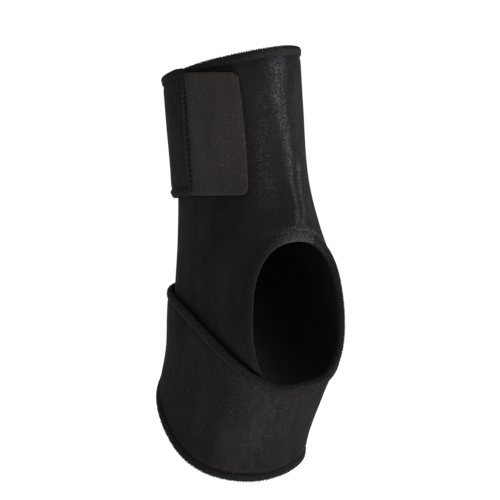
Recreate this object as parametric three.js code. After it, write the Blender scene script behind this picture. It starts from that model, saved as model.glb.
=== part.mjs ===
import * as THREE from 'three';

// Open-heel ankle brace in its worn form: a padded wrap round the leg, closed by a strap with a hook tab,
// over which a band crosses the instep and goes under the arch. Millimetres, +Z up the leg, +Y toward the
// toes, and -X the side with the hook tab. The origin is on the leg's axis at the ankle.
// A place on the form has a turn in degrees round it, from 0 at the heel through 90 on the +X side to 180 at
// the front and on to 360, and an along in millimetres up the form's axis. Lift is the distance out from it.

// The brace's inner form
const legRadius = 35;
const legRise = 129.5;
const footReach = 96;
const footDroop = 38;

// One row for each section, from the toes up: along as a share of footReach below the ankle and of legRise
// above it, tilt as a share of footDroop, the three radii as shares of legRadius, and the exponent of the
// heel half's outline
const sections = [
  { along: -1.35, tilt: 1.00, front: 1.03, back: 1.40, width: 1.20, square: 2.0 },
  { along: -1.04, tilt: 0.95, front: 1.05, back: 1.48, width: 1.17, square: 2.1 },
  { along: -0.78, tilt: 0.82, front: 1.15, back: 1.38, width: 1.10, square: 2.2 },
  { along: -0.52, tilt: 0.63, front: 1.25, back: 1.48, width: 1.06, square: 2.6 },
  { along: -0.26, tilt: 0.39, front: 1.34, back: 1.69, width: 1.08, square: 3.0 },
  { along: 0.00, tilt: 0.18, front: 1.34, back: 1.62, width: 1.05, square: 2.8 },
  { along: 0.23, tilt: 0.05, front: 1.23, back: 1.27, width: 1.00, square: 2.2 },
  { along: 0.46, tilt: 0.00, front: 1.09, back: 1.03, width: 0.98, square: 2.0 },
  { along: 0.77, tilt: 0.00, front: 1.05, back: 1.01, width: 1.00, square: 2.0 },
  { along: 1.10, tilt: 0.00, front: 1.08, back: 1.05, width: 1.00, square: 2.0 },
];
const frontSquare = 2.1;

// Cloth and edges
const wall = 3;
const hemWidth = 5;
const hemProud = 0.6;
const hemThickness = wall + hemProud;
const hemChamfer = 1.1;
const gap = 0.3;
const seamGap = 0.5;
const layerThickness = hemThickness + gap;
const hemInset = hemWidth + seamGap;

// The wrap's ends, where it rises over its own inner end, and its edges: turns in degrees, lengths in mm
const innerTurn = -177;
const overlapTurn = 11;
const rampTurn = 80;
const rampFreeTurn = 5;
const seamTurn = innerTurn + 360 + overlapTurn;
const rampEndTurn = innerTurn + 360 - rampFreeTurn;
const rampStartTurn = rampEndTurn - rampTurn;
const topSlopeHeight = 5.5;
const topPeakTurn = 45;
const tuckHeight = 12;

// The heel opening, an oval whose outline is the hem's free edge
const openingMiddleHeight = -10.2;
const openingHalfHeight = 34;
const openingHalfTurn = 32.5;
const openingSquare = 2.4;
const bendTurn = 30;
const tuckShare = 0.94;

// The strap and its hook tab
const strapHeight = 76.5;
const strapFoot = legRise - strapHeight;
const strapCorner = 5;
const tabWidth = 35;
const tabInset = 6.5;
const tabHeight = strapHeight - tabInset;
const tabDipHeight = 3;
const tabSlantWidth = 3.4;
const tabBulgeWidth = 1.6;
const tabChamfer = 2.6;
const tabMiddleTurn = 303;
const tabThin = 1.6;

// Half the width in degrees of the band's ramp down to the sole, from the tab's side across the heel's middle
const soleRampTurn = 23;

// The two edges of the foot band, by turn from the heel to the front: along as a share of footReach
const bandEdges = [
  { turn: 0, instep: -0.415, toe: -0.950 },
  { turn: 20, instep: -0.405, toe: -0.955 },
  { turn: 46, instep: -0.295, toe: -0.970 },
  { turn: 66, instep: -0.228, toe: -0.965 },
  { turn: 90, instep: -0.165, toe: -0.925 },
  { turn: 113, instep: -0.115, toe: -0.870 },
  { turn: 145, instep: -0.080, toe: -0.815 },
  { turn: 180, instep: -0.065, toe: -0.795 },
];

// The toe edge runs up on the +X side of a turn near the heel and down on the other: the rise, that turn,
// and the turn from there to the most rise
const toeSkewHeight = 2;
const toeSkewMiddleTurn = -14;
const toeSkewTurn = 36;

// Mesh steps
const columnTurn = 7.3;
const openingColumns = 12;
const upperRows = 10;
const lowerRows = 5;
const notchSteps = 90;
const bandRows = 7;
const strapRows = 6;
const tabColumns = 6;
const cornerSteps = 4;
const heelHemSteps = 36;
const hemStepLength = 6.5;
const plainHemStepLength = 13;
const ringFineness = 1.5;
const axisStepLength = 4;
const nudge = 0.5;

const radians = THREE.MathUtils.degToRad;
const degrees = THREE.MathUtils.radToDeg;

// A smooth curve through the named column of a table, held at both ends
function curveThrough(rows, across, key) {
  const x = rows.map((row) => row[across]);
  const y = rows.map((row) => row[key]);
  const last = x.length - 1;
  const slope = y.map((value, i) => {
    if (i === 0 || i === last) return 0;
    return (y[i + 1] - y[i - 1]) / (x[i + 1] - x[i - 1]);
  });
  return (at) => {
    const place = THREE.MathUtils.clamp(at, x[0], x[last]);
    let i = 0;
    while (i < last - 1 && place > x[i + 1]) i += 1;
    const span = x[i + 1] - x[i];
    const t = (place - x[i]) / span;
    const rise = (3 - 2 * t) * t * t;
    const start = t * (1 - t) * (1 - t);
    const end = t * t * (t - 1);
    return y[i] * (1 - rise) + y[i + 1] * rise + span * (slope[i] * start + slope[i + 1] * end);
  };
}

// The form
const formRows = sections.map((row) => ({
  along: row.along * (row.along < 0 ? footReach : legRise),
  tilt: radians(row.tilt * footDroop),
  front: row.front * legRadius,
  back: row.back * legRadius,
  width: row.width * legRadius,
  square: row.square,
}));
const tiltAt = curveThrough(formRows, 'along', 'tilt');
const frontAt = curveThrough(formRows, 'along', 'front');
const backAt = curveThrough(formRows, 'along', 'back');
const widthAt = curveThrough(formRows, 'along', 'width');
const squareAt = curveThrough(formRows, 'along', 'square');

// The form's axis, by small steps from the ankle
function axisAt(along) {
  const steps = Math.ceil(Math.abs(along) / axisStepLength) + 1;
  const step = along / steps;
  let y = 0;
  let z = 0;
  for (let i = 0; i < steps; i += 1) {
    const tilt = tiltAt((i + 0.5) * step);
    y -= Math.sin(tilt) * step;
    z += Math.cos(tilt) * step;
  }
  return { y, z };
}

function formPoint(turn, along) {
  const sine = Math.sin(radians(turn));
  const cosine = Math.cos(radians(turn));
  const depth = cosine > 0 ? backAt(along) : frontAt(along);
  const square = cosine > 0 ? squareAt(along) : frontSquare;
  const sum = Math.abs(sine / widthAt(along)) ** square + Math.abs(cosine / depth) ** square;
  const reach = sum ** (-1 / square);
  const tilt = tiltAt(along);
  const axis = axisAt(along);
  return new THREE.Vector3(
    reach * sine,
    axis.y - reach * cosine * Math.cos(tilt),
    axis.z - reach * cosine * Math.sin(tilt),
  );
}

function formNormal(turn, along) {
  const across = formPoint(turn + nudge, along).sub(formPoint(turn - nudge, along));
  const up = formPoint(turn, along + nudge).sub(formPoint(turn, along - nudge));
  return across.cross(up).normalize();
}

function place(turn, along, lift) {
  return formPoint(turn, along).addScaledVector(formNormal(turn, along), lift);
}

// One column's value where another column of a list reaches a value, straight between its points
function valueOn(list, key, wanted, at) {
  const rising = list[list.length - 1][key] > list[0][key];
  const i = list.findIndex((point) => (rising ? point[key] >= at : point[key] <= at));
  if (i < 0) return list[list.length - 1][wanted];
  if (i === 0) return list[0][wanted];
  const share = (at - list[i - 1][key]) / (list[i][key] - list[i - 1][key]);
  return THREE.MathUtils.lerp(list[i - 1][wanted], list[i][wanted], share);
}

// Edge lines
const bandRowsHalf = bandEdges.map((row) => ({
  turn: row.turn,
  instep: row.instep * footReach,
  toe: row.toe * footReach,
}));
const instepHalf = curveThrough(bandRowsHalf, 'turn', 'instep');
const toeHalf = curveThrough(bandRowsHalf, 'turn', 'toe');

function fromHeel(turn) {
  const wrapped = THREE.MathUtils.euclideanModulo(turn, 360);
  return Math.min(wrapped, 360 - wrapped);
}

function toeSkew(turn) {
  const wrapped = THREE.MathUtils.euclideanModulo(turn + 180, 360) - 180;
  const share = (wrapped - toeSkewMiddleTurn) / toeSkewTurn;
  return toeSkewHeight * share * Math.exp((1 - share ** 2) / 2);
}

const instepLine = (turn) => instepHalf(fromHeel(turn));
const toeLine = (turn) => toeHalf(fromHeel(turn)) + toeSkew(turn);
const topLine = (turn) => legRise + topSlopeHeight * Math.cos(radians(turn - topPeakTurn));

// The wrap rises one layer as it comes round the front, and the band comes down again to the sole
const wrapLift = (turn) => layerThickness * THREE.MathUtils.smoothstep(turn, rampStartTurn, rampEndTurn);
const sole = (turn) => 1 - THREE.MathUtils.smoothstep(turn, -soleRampTurn, soleRampTurn);
const soleLift = (turn) => layerThickness * sole(turn);
const bandLift = (turn) => (turn > 180 ? soleLift(turn - 360) : Math.max(wrapLift(turn), soleLift(turn)));

// The place at a distance to the left of a path, measured on the form
function sidestep(point, ahead, distance) {
  const { turn, along } = point;
  const across = formPoint(turn + nudge, along).distanceTo(formPoint(turn - nudge, along)) / (2 * nudge);
  const up = formPoint(turn, along + nudge).distanceTo(formPoint(turn, along - nudge)) / (2 * nudge);
  const right = ahead.turn * across;
  const rise = ahead.along * up;
  const length = Math.hypot(right, rise);
  return {
    turn: turn - (distance * rise) / (length * across),
    along: along + (distance * right) / (length * up),
  };
}

// A line moved toward the top edge by a distance, still as an along for each turn
function movedLine(line, distance) {
  return (turn) => {
    const ahead = { turn: 1, along: (line(turn + nudge) - line(turn - nudge)) / (2 * nudge) };
    const moved = sidestep({ turn, along: line(turn) }, ahead, distance);
    return moved.along + (turn - moved.turn) * ahead.along;
  };
}

// The heel opening's outline moved out by a margin; angle 0 is its top and 180 its foot, both sides alike
function openingPoint(angle, margin) {
  const outline = (at) => {
    const power = 2 / openingSquare;
    const sine = Math.sin(radians(at));
    const cosine = Math.cos(radians(at));
    return {
      turn: openingHalfTurn * Math.sign(sine) * Math.abs(sine) ** power,
      along: openingMiddleHeight + openingHalfHeight * Math.sign(cosine) * Math.abs(cosine) ** power,
    };
  };
  const point = outline(angle);
  const before = outline(angle - nudge);
  const after = outline(angle + nudge);
  return sidestep(point, { turn: after.turn - before.turn, along: after.along - before.along }, margin);
}

// A closed solid from cells of four points: an outer face, an inner face and a wall round every free edge
function slab(points, cells, liftAt, thicknessAt) {
  const count = points.length;
  const positions = [];
  for (const layer of [1, 0]) {
    for (const point of points) {
      const lift = liftAt(point) + layer * thicknessAt(point);
      positions.push(...place(point.turn, point.along, lift).toArray());
    }
  }
  const indices = [];
  const edges = new Map();
  for (const [a, b, c, d] of cells) {
    indices.push(a, b, c, a, c, d);
    indices.push(count + a, count + c, count + b, count + a, count + d, count + c);
    for (const [from, to] of [[a, b], [b, c], [c, d], [d, a]]) {
      if (edges.has(`${to} ${from}`)) edges.delete(`${to} ${from}`);
      else edges.set(`${from} ${to}`, [from, to]);
    }
  }
  for (const [from, to] of edges.values()) {
    indices.push(from, count + from, to, to, count + from, count + to);
  }
  return geometryFrom(positions, indices);
}

function geometryFrom(positions, indices) {
  const geometry = new THREE.BufferGeometry();
  geometry.setAttribute('position', new THREE.Float32BufferAttribute(positions, 3));
  geometry.setIndex(indices);
  geometry.computeVertexNormals();
  return geometry;
}

// Cells of a grid whose points are stored column by column
function gridCells(columns, rows, first = 0, joined = false) {
  const cells = [];
  const height = rows + 1;
  for (let i = 0; i < columns; i += 1) {
    const here = first + i * height;
    const next = joined && i === columns - 1 ? first : here + height;
    for (let j = 0; j < rows; j += 1) {
      cells.push([here + j, next + j, next + j + 1, here + j + 1]);
    }
  }
  return cells;
}

function evenTurns(from, to) {
  const count = Math.round((to - from) / columnTurn);
  return Array.from({ length: count + 1 }, (_, i) => from + ((to - from) * i) / count);
}

// A hem: a chamfered bead swept along a path of turns and alongs, its inner face at the path's lift
const hemProfile = [
  [-hemWidth / 2, hemChamfer],
  [-hemWidth / 2 + hemChamfer, 0],
  [hemWidth / 2 - hemChamfer, 0],
  [hemWidth / 2, hemChamfer],
  [hemWidth / 2, hemThickness - hemChamfer],
  [hemWidth / 2 - hemChamfer, hemThickness],
  [-hemWidth / 2 + hemChamfer, hemThickness],
  [-hemWidth / 2, hemThickness - hemChamfer],
];

function bead(path, liftAt, joined = false) {
  const spots = path.map((point) => place(point.turn, point.along, liftAt(point.turn)));
  const last = path.length - 1;
  const sides = hemProfile.length;
  const positions = [];
  path.forEach((point, i) => {
    const before = spots[i > 0 ? i - 1 : joined ? last : 0];
    const after = spots[i < last ? i + 1 : joined ? 0 : last];
    const normal = formNormal(point.turn, point.along);
    const ahead = after.clone().sub(before).normalize();
    const across = normal.clone().cross(ahead).normalize();
    for (const [side, height] of hemProfile) {
      const corner = spots[i].clone().addScaledVector(across, side).addScaledVector(normal, height);
      positions.push(...corner.toArray());
    }
  });
  const indices = [];
  const rings = joined ? path.length : last;
  for (let i = 0; i < rings; i += 1) {
    const here = i * sides;
    const next = ((i + 1) % path.length) * sides;
    for (let k = 0; k < sides; k += 1) {
      const turnOn = (k + 1) % sides;
      indices.push(here + k, here + turnOn, next + turnOn, here + k, next + turnOn, next + k);
    }
  }
  if (!joined) {
    for (let k = 1; k < sides - 1; k += 1) {
      indices.push(0, k + 1, k);
      indices.push(last * sides, last * sides + k, last * sides + k + 1);
    }
  }
  return geometryFrom(positions, indices);
}

function hemTurns(from, to, alongAt, radius) {
  const count = Math.round((radians(to - from) * radius) / hemStepLength);
  return Array.from({ length: count + 1 }, (_, i) => {
    const turn = from + ((to - from) * i) / count;
    return { turn, along: alongAt(turn) };
  });
}

// The seam between strap and tab leans with the tab
function tabSeam(along) {
  const share = (along - strapFoot) / tabHeight;
  const across = tabSlantWidth * (share - 0.5) - tabWidth / 2;
  return tabMiddleTurn + degrees(across / (legRadius + layerThickness));
}

// Leg panel: above the opening's widest line its columns run to the top edge, and those over the opening
// start on the opening's arch; below that line the columns beside the opening bend in with its outline
function legPanel() {
  const outline = Array.from({ length: notchSteps + 1 }, (_, i) => {
    return openingPoint((180 * i) / notchSteps, hemInset);
  });
  const widest = outline.reduce((best, point) => (point.turn > best.turn ? point : best));
  const split = outline.indexOf(widest);
  const arch = outline.slice(0, split + 1);
  const lower = outline.slice(split);
  const near = evenTurns(innerTurn, -widest.turn);
  const far = evenTurns(widest.turn, seamTurn);
  const over = Array.from({ length: openingColumns - 1 }, (_, i) => {
    return -widest.turn * Math.cos((Math.PI * (i + 1)) / openingColumns);
  });
  const columns = [...near, ...over, ...far];
  const topEdge = movedLine(topLine, -hemInset);
  const points = [];
  for (const turn of columns) {
    const start = valueOn(arch, 'turn', 'along', Math.abs(turn));
    const end = topEdge(turn);
    for (let j = 0; j <= upperRows; j += 1) {
      points.push({ turn, along: start + ((end - start) * j) / upperRows });
    }
  }
  const cells = gridCells(columns.length - 1, upperRows);
  const instepTuck = movedLine(instepLine, -tuckHeight);
  const tuckFloor = openingMiddleHeight - openingHalfHeight * tuckShare;
  addLowerBlock(near, 0, (turn) => Math.max(instepTuck(turn), tuckFloor));
  addLowerBlock(far, near.length + over.length, movedLine(instepLine, hemWidth / 2 + seamGap));
  return slab(points, cells, (point) => wrapLift(point.turn), () => wall);

  function bentTurnAt(turn, along) {
    const spread = THREE.MathUtils.clamp(1 - (Math.abs(turn) - widest.turn) / bendTurn, 0, 1);
    const bend = widest.turn - valueOn(lower, 'along', 'turn', along);
    return turn - Math.sign(turn) * bend * spread;
  }

  function addLowerBlock(turns, firstColumn, edge) {
    const first = points.length;
    for (const turn of turns) {
      const guess = edge(bentTurnAt(turn, edge(turn)));
      const foot = edge(bentTurnAt(turn, edge(bentTurnAt(turn, guess))));
      for (let j = 0; j < lowerRows; j += 1) {
        const along = foot + ((widest.along - foot) * j) / lowerRows;
        points.push({ turn: bentTurnAt(turn, along), along });
      }
    }
    const indexAt = (i, j) => {
      if (j === lowerRows) return (firstColumn + i) * (upperRows + 1);
      return first + i * lowerRows + j;
    };
    for (let i = 0; i < turns.length - 1; i += 1) {
      for (let j = 0; j < lowerRows; j += 1) {
        cells.push([indexAt(i, j), indexAt(i + 1, j), indexAt(i + 1, j + 1), indexAt(i, j + 1)]);
      }
    }
  }
}

function closureStrap() {
  const columns = Math.round((tabSeam(strapFoot) - seamTurn) / columnTurn);
  const start = seamTurn + degrees(gap / legRadius);
  const foot = strapFoot + hemInset;
  const topEdge = movedLine(topLine, -hemInset);
  const points = [];
  for (let i = 0; i <= columns; i += 1) {
    for (let j = 0; j <= strapRows; j += 1) {
      const guess = start + ((tabSeam(strapFoot) - start) * i) / columns;
      const along = foot + ((topEdge(guess) - foot) * j) / strapRows;
      const end = tabSeam(along) - degrees(gap / 2 / legRadius);
      points.push({ turn: start + ((end - start) * i) / columns, along });
    }
  }
  return slab(points, gridCells(columns, strapRows), (point) => wrapLift(point.turn), () => wall);
}

// Hook tab: full thickness at the seam, thin at its free end, with two clipped corners and a full edge
function hookTab() {
  const radius = legRadius + layerThickness;
  const rowShares = [0, tabChamfer / tabHeight, 0.25, 0.5, 0.75, 1 - tabChamfer / tabHeight, 1];
  const points = [];
  for (let i = 0; i <= tabColumns; i += 1) {
    rowShares.forEach((share, j) => {
      const clipped = j === 0 || j === rowShares.length - 1 ? tabChamfer : 0;
      const along = strapFoot + tabHeight * share - tabDipHeight * (i / tabColumns);
      const start = tabSeam(along) + degrees(gap / 2 / legRadius);
      const bulge = tabBulgeWidth * Math.sin(Math.PI * share);
      const width = tabWidth - clipped - tabSlantWidth * (share - 0.5) + bulge;
      const out = i / tabColumns;
      points.push({ turn: start + degrees((width / radius) * out), along, share: out });
    });
  }
  const thickness = (point) => THREE.MathUtils.lerp(wall, tabThin, point.share);
  return slab(points, gridCells(tabColumns, rowShares.length - 1), () => layerThickness, thickness);
}

function footBand() {
  const columns = Math.round(360 / columnTurn);
  const toeEdge = movedLine(toeLine, hemWidth + seamGap);
  const instepEdge = movedLine(instepLine, -hemWidth / 2 - seamGap);
  const points = [];
  for (let i = 0; i < columns; i += 1) {
    const turn = (360 * i) / columns;
    const start = toeEdge(turn);
    const end = instepEdge(turn);
    for (let j = 0; j <= bandRows; j += 1) {
      points.push({ turn, along: start + ((end - start) * j) / bandRows });
    }
  }
  return slab(points, gridCells(columns, bandRows, 0, true), (point) => bandLift(point.turn), () => wall);
}

function topHem() {
  const end = tabSeam(strapFoot + tabHeight) - degrees(gap / legRadius);
  return bead(hemTurns(innerTurn, end, movedLine(topLine, -hemWidth / 2), legRadius), wrapLift);
}

// Front hem: down the wrap's outer end from the strap's lower edge to the instep
function frontHem() {
  const edgeTurn = seamTurn + degrees((gap + hemWidth / 2) / legRadius);
  const corner = degrees(strapCorner / legRadius);
  const line = strapFoot + hemWidth / 2;
  const end = tabSeam(line) - degrees(gap / legRadius);
  const path = hemTurns(edgeTurn + corner, end, () => line, legRadius).reverse();
  for (let i = 1; i <= cornerSteps; i += 1) {
    const angle = (Math.PI / 2) * (i / cornerSteps);
    path.push({
      turn: edgeTurn + corner * (1 - Math.sin(angle)),
      along: line - strapCorner * (1 - Math.cos(angle)),
    });
  }
  const foot = movedLine(instepLine, hemWidth / 2 + seamGap)(edgeTurn);
  const top = line - strapCorner;
  const steps = Math.ceil((top - foot) / plainHemStepLength);
  for (let i = 1; i <= steps; i += 1) {
    path.push({ turn: edgeTurn, along: top + ((foot - top) * i) / steps });
  }
  return bead(path, wrapLift);
}

// Heel hem: round the opening, down to the instep hem on both sides
function heelHem() {
  const limit = movedLine(instepLine, hemWidth + gap);
  const below = (angle) => {
    const point = openingPoint(angle, hemWidth / 2);
    return point.along < limit(point.turn);
  };
  let end = 90;
  while (end < 180 && !below(end + 1)) end += 1;
  const path = Array.from({ length: heelHemSteps + 1 }, (_, i) => {
    return openingPoint(end * ((2 * i) / heelHemSteps - 1), hemWidth / 2);
  });
  return bead(path, wrapLift);
}

function ringHem(line) {
  const path = hemTurns(0, 360, line, legRadius * ringFineness);
  path.pop();
  return bead(path, bandLift, true);
}

// Materials: knitted loop cloth over foam, its darker hems, and the brown-black hook tape
const loopCloth = new THREE.MeshStandardMaterial({ color: 0x201e20, roughness: 0.92, metalness: 0 });
const hemCloth = new THREE.MeshStandardMaterial({ color: 0x171517, roughness: 0.95, metalness: 0 });
const hookTape = new THREE.MeshStandardMaterial({ color: 0x2f2b2a, roughness: 0.85, metalness: 0 });

function piece(name, geometry, material) {
  const mesh = new THREE.Mesh(geometry, material);
  mesh.name = name;
  return mesh;
}

const brace = new THREE.Group();
brace.add(
  piece('leg_panel', legPanel(), loopCloth),
  piece('closure_strap', closureStrap(), loopCloth),
  piece('hook_tab', hookTab(), hookTape),
  piece('foot_band', footBand(), loopCloth),
  piece('top_hem', topHem(), hemCloth),
  piece('front_hem', frontHem(), hemCloth),
  piece('heel_hem', heelHem(), hemCloth),
  piece('instep_hem', ringHem(instepLine), hemCloth),
  piece('toe_hem', ringHem(movedLine(toeLine, hemWidth / 2)), hemCloth),
);

export default brace;
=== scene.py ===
import math

import bpy
import numpy as np
from mathutils import Matrix, Vector


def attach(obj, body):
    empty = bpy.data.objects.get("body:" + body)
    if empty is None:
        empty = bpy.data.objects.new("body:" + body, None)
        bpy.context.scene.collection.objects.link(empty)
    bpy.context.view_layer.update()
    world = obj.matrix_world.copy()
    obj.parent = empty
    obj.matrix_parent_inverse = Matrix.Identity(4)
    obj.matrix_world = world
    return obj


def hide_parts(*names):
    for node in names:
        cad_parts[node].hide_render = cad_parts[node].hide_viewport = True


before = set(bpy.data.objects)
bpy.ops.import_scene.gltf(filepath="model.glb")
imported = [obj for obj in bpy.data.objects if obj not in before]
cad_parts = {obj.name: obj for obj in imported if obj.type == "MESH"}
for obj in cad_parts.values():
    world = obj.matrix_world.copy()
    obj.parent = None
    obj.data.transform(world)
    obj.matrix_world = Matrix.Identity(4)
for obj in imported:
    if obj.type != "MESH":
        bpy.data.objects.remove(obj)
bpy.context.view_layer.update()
bpy.ops.object.select_all(action="DESELECT")

# The worn form
# The brace has no shape of its own: it is cut flat and takes this form when it is put on. A place on the form
# is a turn in degrees from the heel and an along in millimetres up its axis, as in the CAD model.
leg_radius = 35.0
leg_rise = 129.5
foot_reach = 96.0
foot_droop = 38.0
front_square = 2.1
# Each row has its along as a share of foot_reach or leg_rise, its tilt as a share of foot_droop, its front,
# back and width as shares of leg_radius, and the squareness of its back
sections = np.array([
    (-1.35, 1.00, 1.03, 1.40, 1.20, 2.0),
    (-1.04, 0.95, 1.05, 1.48, 1.17, 2.1),
    (-0.78, 0.82, 1.15, 1.38, 1.10, 2.2),
    (-0.52, 0.63, 1.25, 1.48, 1.06, 2.6),
    (-0.26, 0.39, 1.34, 1.69, 1.08, 3.0),
    (0.00, 0.18, 1.34, 1.62, 1.05, 2.8),
    (0.23, 0.05, 1.23, 1.27, 1.00, 2.2),
    (0.46, 0.00, 1.09, 1.03, 0.98, 2.0),
    (0.77, 0.00, 1.05, 1.01, 1.00, 2.0),
    (1.10, 0.00, 1.08, 1.05, 1.00, 2.0),
])
section_along = sections[:, 0] * np.where(sections[:, 0] < 0, foot_reach, leg_rise)


def curve_through(x, y):
    """A smooth curve through the points, level at both ends."""
    x, y = np.asarray(x, float), np.asarray(y, float)
    slope = np.zeros(len(x))
    slope[1:-1] = (y[2:] - y[:-2]) / (x[2:] - x[:-2])

    def curve(at):
        at = np.clip(at, x[0], x[-1])
        i = np.clip(np.searchsorted(x, at) - 1, 0, len(x) - 2)
        span = x[i + 1] - x[i]
        t = (at - x[i]) / span
        rise = (3 - 2 * t) * t * t
        bend = slope[i] * t * (1 - t) ** 2 + slope[i + 1] * t * t * (t - 1)
        return y[i] * (1 - rise) + y[i + 1] * rise + span * bend

    return curve


tilt_at = curve_through(section_along, np.radians(sections[:, 1] * foot_droop))
front_at = curve_through(section_along, sections[:, 2] * leg_radius)
back_at = curve_through(section_along, sections[:, 3] * leg_radius)
width_at = curve_through(section_along, sections[:, 4] * leg_radius)
square_at = curve_through(section_along, sections[:, 5])
axis_step = 0.5
axis_along = np.arange(-150.0, 160.0 + axis_step, axis_step)
axis_tilt = tilt_at(axis_along[:-1] + axis_step / 2)
axis_y = np.concatenate([[0], np.cumsum(-np.sin(axis_tilt) * axis_step)])
axis_z = np.concatenate([[0], np.cumsum(np.cos(axis_tilt) * axis_step)])
axis_y -= np.interp(0, axis_along, axis_y)
axis_z -= np.interp(0, axis_along, axis_z)


def on_form(turn, along):
    """Places on the form, in millimetres."""
    turn, along = np.broadcast_arrays(np.asarray(turn, float), np.asarray(along, float))
    sine, cosine = np.sin(np.radians(turn)), np.cos(np.radians(turn))
    depth = np.where(cosine > 0, back_at(along), front_at(along))
    square = np.where(cosine > 0, square_at(along), front_square)
    reach = (abs(sine / width_at(along)) ** square + abs(cosine / depth) ** square) ** (-1 / square)
    tilt = tilt_at(along)
    y = np.interp(along, axis_along, axis_y) - reach * cosine * np.cos(tilt)
    z = np.interp(along, axis_along, axis_z) - reach * cosine * np.sin(tilt)
    return np.stack([reach * sine, y, z], -1)


def form_steps(turn, along):
    """The form's steps for one degree of turn and one millimetre of along."""
    across = on_form(turn + 0.5, along) - on_form(turn - 0.5, along)
    up = on_form(turn, along + 0.5) - on_form(turn, along - 0.5)
    return across, up


def form_normal(turn, along):
    normal = np.cross(*form_steps(turn, along))
    return normal / np.linalg.norm(normal, axis=-1, keepdims=True)


def lay(turn, along, lift):
    """Points at a lift above the form, in metres."""
    lift = np.asarray(lift, float)[..., None] * np.ones(3)
    return (on_form(turn, along) + form_normal(turn, along) * lift) * 0.001


# The cloth of the wrap and the band
# Three millimetres of foam between a smooth knit inside and a brushed loop knit outside, whose short nap lies
# up and down the brace. Streaks of painted sheen, a highlight painted into its colour, lie where the nap is
# brushed, and it catches a little lint.
wall = 3.0
hem_width = 5.0
layer = 3.9
lint_colour = (0.10, 0.10, 0.11, 1)


def smooth(x, low, high):
    t = np.clip((x - low) / (high - low), 0, 1)
    return t * t * (3 - 2 * t)


def new_material(name):
    material = bpy.data.materials.new(name)
    material.use_nodes = True
    tree = material.node_tree
    return material, tree, tree.nodes["Principled BSDF"]


def add_node(tree, kind, settings=(), **inputs):
    """One node with its settings. An input goes by its label, with _ for a space, or by i and its number."""
    node = tree.nodes.new(kind)
    for key, value in dict(settings).items():
        setattr(node, key, value)
    for key, value in inputs.items():
        numbered = key[0] == "i" and key[1:].isdigit()
        socket = node.inputs[int(key[1:]) if numbered else key.replace("_", " ")]
        if isinstance(value, bpy.types.NodeSocket):
            tree.links.new(value, socket)
        else:
            socket.default_value = value
    return node


def cloth_place(tree):
    return add_node(tree, "ShaderNodeUVMap", {"uv_map": "cloth"}).outputs[0]


# The attribute that holds painted sheen on the cloth and the hems, and real lint on the hook tab
def sheen_and_lint_attribute(tree):
    return add_node(tree, "ShaderNodeAttribute", {"attribute_name": "sheen_and_lint"}).outputs["Fac"]


def stretched_noise(tree, where, scale, detail=2.0, roughness=0.55):
    """Noise stretched along the cloth; scale is waves to the metre, across and along."""
    spread = add_node(tree, "ShaderNodeVectorMath", {"operation": "MULTIPLY"}, i0=where, i1=scale)
    noise = add_node(tree, "ShaderNodeTexNoise", i0=spread.outputs[0], Scale=1.0, Detail=detail,
                     Roughness=roughness)
    return noise.outputs["Fac"]


def cloth_rows(tree, where, direction, scale, wander, detail):
    """The rows of a knit or a weave."""
    rows = add_node(tree, "ShaderNodeTexWave", {"bands_direction": direction}, i0=where, Scale=scale,
                    Distortion=wander, Detail=detail, Detail_Scale=detail + 1.0)
    return rows.outputs["Fac"]


def band_of(tree, value, low, high, bottom=0.0, top=1.0):
    """The value drawn out between low and high."""
    spread = add_node(tree, "ShaderNodeMapRange", {"interpolation_type": "SMOOTHSTEP"},
                      Value=value, From_Min=low, From_Max=high, To_Min=bottom, To_Max=top)
    return spread.outputs[0]


def times(tree, a, b):
    return add_node(tree, "ShaderNodeMath", {"operation": "MULTIPLY"}, i0=a, i1=b).outputs[0]


def plus(tree, a, b):
    return add_node(tree, "ShaderNodeMath", {"operation": "ADD"}, i0=a, i1=b).outputs[0]


def blend_colour(tree, share, under, over):
    mix = add_node(tree, "ShaderNodeMix", {"data_type": "RGBA"}, i0=share, i6=under, i7=over)
    return mix.outputs[2]


def finish_surface(tree, shader, colour, pile=None, strength=0.0, depth=0.0, **values):
    """The shader's colour, its pile as a bump, and the values of its other inputs."""
    tree.links.new(colour, shader.inputs["Base Color"])
    if pile is not None:
        bump = add_node(tree, "ShaderNodeBump", Strength=strength, Distance=depth, Height=pile)
        tree.links.new(bump.outputs[0], shader.inputs["Normal"])
    for key, value in values.items():
        shader.inputs[key.replace("_", " ")].default_value = value


def loop_cloth_material():
    material, tree, shader = new_material("brushed_loop_cloth")
    where, sheen_and_lint = cloth_place(tree), sheen_and_lint_attribute(tree)
    fibre = stretched_noise(tree, where, (1500.0, 800.0, 1.0), 3.0, 0.8)
    tuft = stretched_noise(tree, where, (460.0, 150.0, 1.0), 2.0, 0.6)
    cloud = stretched_noise(tree, where, (75.0, 22.0, 1.0), 2.0, 0.5)
    lint = stretched_noise(tree, where, (1100.0, 1100.0, 1.0), 0.0, 0.5)
    dark, light = (0.0075, 0.0060, 0.0062, 1), (0.0165, 0.0139, 0.0146, 1)
    ground = blend_colour(tree, band_of(tree, cloud, 0.3, 0.7), dark, light)
    nap = blend_colour(tree, band_of(tree, fibre, 0.35, 0.7, 0.0, 0.34), ground, (0.024, 0.022, 0.024, 1))
    # Painted highlight: the streaks of sheen on the nap are a bright colour mixed into the base colour
    patchy = times(tree, sheen_and_lint, band_of(tree, tuft, 0.3, 0.7, 0.6, 1.25))
    painted_shine = times(tree, patchy, band_of(tree, fibre, 0.46, 0.64, 0.08, 1.0))
    streak = blend_colour(tree, painted_shine, nap, (0.215, 0.208, 0.240, 1))
    colour = blend_colour(tree, band_of(tree, lint, 0.80, 0.86, 0.0, 0.5), streak, lint_colour)
    tree.links.new(band_of(tree, tuft, 0.3, 0.7, 0.78, 0.6), shader.inputs["Roughness"])
    pile = plus(tree, times(tree, fibre, 0.6), times(tree, tuft, 0.7))
    finish_surface(tree, shader, colour, pile, 0.42, 0.0005, Specular_IOR_Level=0.10, Sheen_Weight=0.035,
                   Sheen_Roughness=0.35, Sheen_Tint=(0.8, 0.8, 0.95, 1))
    return material


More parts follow.
